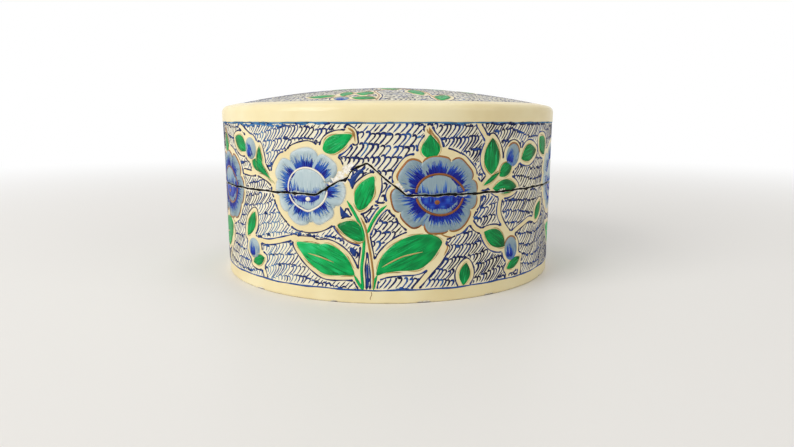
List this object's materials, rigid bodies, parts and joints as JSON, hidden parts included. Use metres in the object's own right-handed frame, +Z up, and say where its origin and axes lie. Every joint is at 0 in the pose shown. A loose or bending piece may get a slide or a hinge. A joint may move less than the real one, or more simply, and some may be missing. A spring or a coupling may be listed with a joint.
{
  "type": "round papier mache box",
  "caption": "Round papier mache trinket box with a low domed lift-off lid, an inner locating collar and a keyed saw-cut seam.",
  "frame": {"origin": "centre of the round foot, on the surface that the box stands on", "axes": "+Z up through the crown of the lid; the tongue of the seam is at the front, towards -Y"},
  "size_m": [0.1, 0.1, 0.0536],
  "materials": {
    "pulp": "matte",
    "black_lacquer": "gloss",
    "painted_ground": "gloss",
    "leaf_green": "gloss",
    "petal_blue": "gloss",
    "line_blue": "gloss",
    "bronze_line": "gloss"
  },
  "bodies": {
    "base": {"base_wall": "pulp", "base_floor": "black_lacquer", "collar": "black_lacquer", "base_coat": "painted_ground"},
    "lid": {"lid_wall": "pulp", "lid_dome": "pulp", "lid_coat": "painted_ground"}
  },
  "joints": [
    {"name": "lid_lift", "type": "slide", "parent": "base", "child": "lid", "axis": [0, 0, 1], "range_m": [0, 0.06]}
  ]
}
